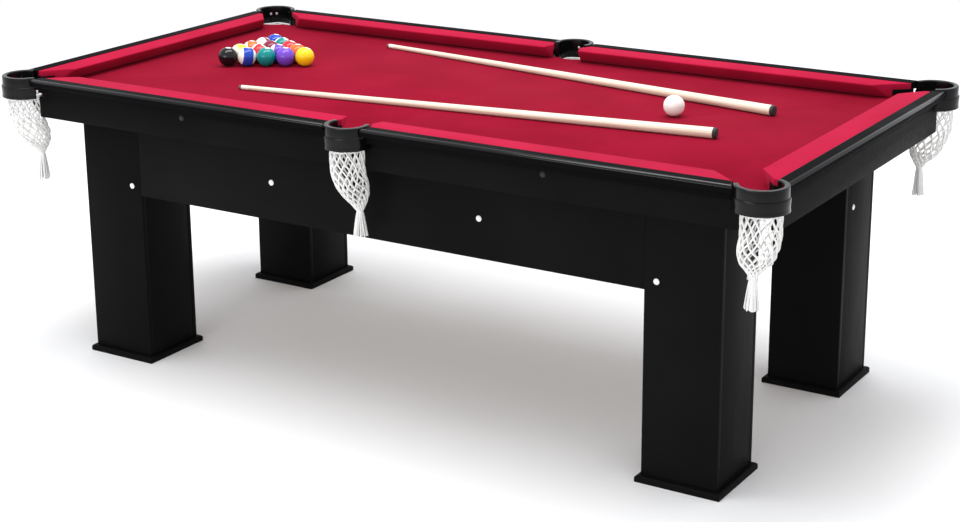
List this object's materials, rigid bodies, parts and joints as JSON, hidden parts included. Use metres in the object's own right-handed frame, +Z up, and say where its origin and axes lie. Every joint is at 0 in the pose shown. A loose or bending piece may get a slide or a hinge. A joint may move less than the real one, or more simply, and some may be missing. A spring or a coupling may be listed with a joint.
{
  "type": "pocket pool table",
  "caption": "Pocket pool table on square box legs: cloth-covered bed and cushions, black box and rails, collars with hanging net pockets, racked balls, cue ball and cues.",
  "frame": {"origin": "on the floor under the middle of the table", "axes": "+X along the table's length, +Y across it to the back, +Z up"},
  "size_m": [2.272, 1.238, 0.8055],
  "materials": {
    "black_laminate": "satin black laminate on fibreboard",
    "rail_trim": "black laminate with a glossy rounded edge",
    "cushion_cloth": "rubber covered with crimson cloth",
    "bed_cloth": "crimson billiard cloth",
    "bed_board": "raw fibreboard",
    "batten_wood": "raw pine",
    "collar_black": "satin moulded plastic",
    "rivet_steel": "satin",
    "net_cord": "white knotted cotton cord",
    "cap_white": "gloss",
    "cue_wood": "lacquered pale maple",
    "ball_white": "polished resin",
    "ball_black": "polished resin",
    "ball_blue": "polished resin",
    "ball_blue_stripe": "polished resin, white with a coloured band",
    "ball_green": "polished resin",
    "ball_green_stripe": "polished resin, white with a coloured band",
    "ball_maroon": "polished resin",
    "ball_maroon_stripe": "polished resin, white with a coloured band",
    "ball_orange": "polished resin",
    "ball_orange_stripe": "polished resin, white with a coloured band",
    "ball_purple": "polished resin",
    "ball_purple_stripe": "polished resin, white with a coloured band",
    "ball_red": "polished resin",
    "ball_red_stripe": "polished resin, white with a coloured band",
    "ball_yellow": "polished resin",
    "ball_yellow_stripe": "polished resin, white with a coloured band"
  },
  "bodies": {
    "table": {"bed": "bed_board", "bed_battens": "batten_wood", "bed_cloth": "bed_cloth", "bolt_caps": "cap_white", "box_board_back_left": "black_laminate", "box_board_back_right": "black_laminate", "box_board_front_left": "black_laminate", "box_board_front_right": "black_laminate", "box_board_left": "black_laminate", "box_board_right": "black_laminate", "collar_back_left": "collar_black", "collar_back_middle": "collar_black", "collar_back_right": "collar_black", "collar_front_left": "collar_black", "collar_front_middle": "collar_black", "collar_front_right": "collar_black", "collar_rivets": "rivet_steel", "cushion_back_left": "cushion_cloth", "cushion_back_right": "cushion_cloth", "cushion_front_left": "cushion_cloth", "cushion_front_right": "cushion_cloth", "cushion_left": "cushion_cloth", "cushion_right": "cushion_cloth", "foot_plates": "black_laminate", "leg_back_left": "black_laminate", "leg_back_right": "black_laminate", "leg_front_left": "black_laminate", "leg_front_right": "black_laminate", "net_back_left": "net_cord", "net_back_middle": "net_cord", "net_back_right": "net_cord", "net_front_left": "net_cord", "net_front_middle": "net_cord", "net_front_right": "net_cord", "rail_back_left": "rail_trim", "rail_back_right": "rail_trim", "rail_front_left": "rail_trim", "rail_front_right": "rail_trim", "rail_left": "rail_trim", "rail_right": "rail_trim", "skirt_back": "black_laminate", "skirt_front": "black_laminate"},
    "ball_01": {"ball_01": "ball_yellow"},
    "ball_02": {"ball_02": "ball_blue"},
    "ball_03": {"ball_03": "ball_red"},
    "ball_04": {"ball_04": "ball_purple"},
    "ball_05": {"ball_05": "ball_orange"},
    "ball_06": {"ball_06": "ball_green"},
    "ball_07": {"ball_07": "ball_maroon"},
    "ball_08": {"ball_08": "ball_black"},
    "ball_09": {"ball_09": "ball_yellow_stripe"},
    "ball_10": {"ball_10": "ball_blue_stripe"},
    "ball_11": {"ball_11": "ball_red_stripe"},
    "ball_12": {"ball_12": "ball_purple_stripe"},
    "ball_13": {"ball_13": "ball_orange_stripe"},
    "ball_14": {"ball_14": "ball_green_stripe"},
    "ball_15": {"ball_15": "ball_maroon_stripe"},
    "cue_ball": {"cue_ball": "ball_white"},
    "cue_back": {"cue_back": "cue_wood"},
    "cue_front": {"cue_front": "cue_wood"}
  },
  "joints": [
    {"name": "ball_01_lift", "type": "slide", "parent": "table", "child": "ball_01", "axis": [0, 0, 1], "range_m": [0, 0.12]},
    {"name": "ball_02_lift", "type": "slide", "parent": "table", "child": "ball_02", "axis": [0, 0, 1], "range_m": [0, 0.12]},
    {"name": "ball_03_lift", "type": "slide", "parent": "table", "child": "ball_03", "axis": [0, 0, 1], "range_m": [0, 0.12]},
    {"name": "ball_04_lift", "type": "slide", "parent": "table", "child": "ball_04", "axis": [0, 0, 1], "range_m": [0, 0.12]},
    {"name": "ball_05_lift", "type": "slide", "parent": "table", "child": "ball_05", "axis": [0, 0, 1], "range_m": [0, 0.12]},
    {"name": "ball_06_lift", "type": "slide", "parent": "table", "child": "ball_06", "axis": [0, 0, 1], "range_m": [0, 0.12]},
    {"name": "ball_07_lift", "type": "slide", "parent": "table", "child": "ball_07", "axis": [0, 0, 1], "range_m": [0, 0.12]},
    {"name": "ball_08_lift", "type": "slide", "parent": "table", "child": "ball_08", "axis": [0, 0, 1], "range_m": [0, 0.12]},
    {"name": "ball_09_lift", "type": "slide", "parent": "table", "child": "ball_09", "axis": [0, 0, 1], "range_m": [0, 0.12]},
    {"name": "ball_10_lift", "type": "slide", "parent": "table", "child": "ball_10", "axis": [0, 0, 1], "range_m": [0, 0.12]},
    {"name": "ball_11_lift", "type": "slide", "parent": "table", "child": "ball_11", "axis": [0, 0, 1], "range_m": [0, 0.12]},
    {"name": "ball_12_lift", "type": "slide", "parent": "table", "child": "ball_12", "axis": [0, 0, 1], "range_m": [0, 0.12]},
    {"name": "ball_13_lift", "type": "slide", "parent": "table", "child": "ball_13", "axis": [0, 0, 1], "range_m": [0, 0.12]},
    {"name": "ball_14_lift", "type": "slide", "parent": "table", "child": "ball_14", "axis": [0, 0, 1], "range_m": [0, 0.12]},
    {"name": "ball_15_lift", "type": "slide", "parent": "table", "child": "ball_15", "axis": [0, 0, 1], "range_m": [0, 0.12]},
    {"name": "cue_ball_lift", "type": "slide", "parent": "table", "child": "cue_ball", "axis": [0, 0, 1], "range_m": [0, 0.12]},
    {"name": "cue_back_lift", "type": "slide", "parent": "table", "child": "cue_back", "axis": [0, 0, 1], "range_m": [0, 0.25]},
    {"name": "cue_front_lift", "type": "slide", "parent": "table", "child": "cue_front", "axis": [0, 0, 1], "range_m": [0, 0.25]}
  ]
}
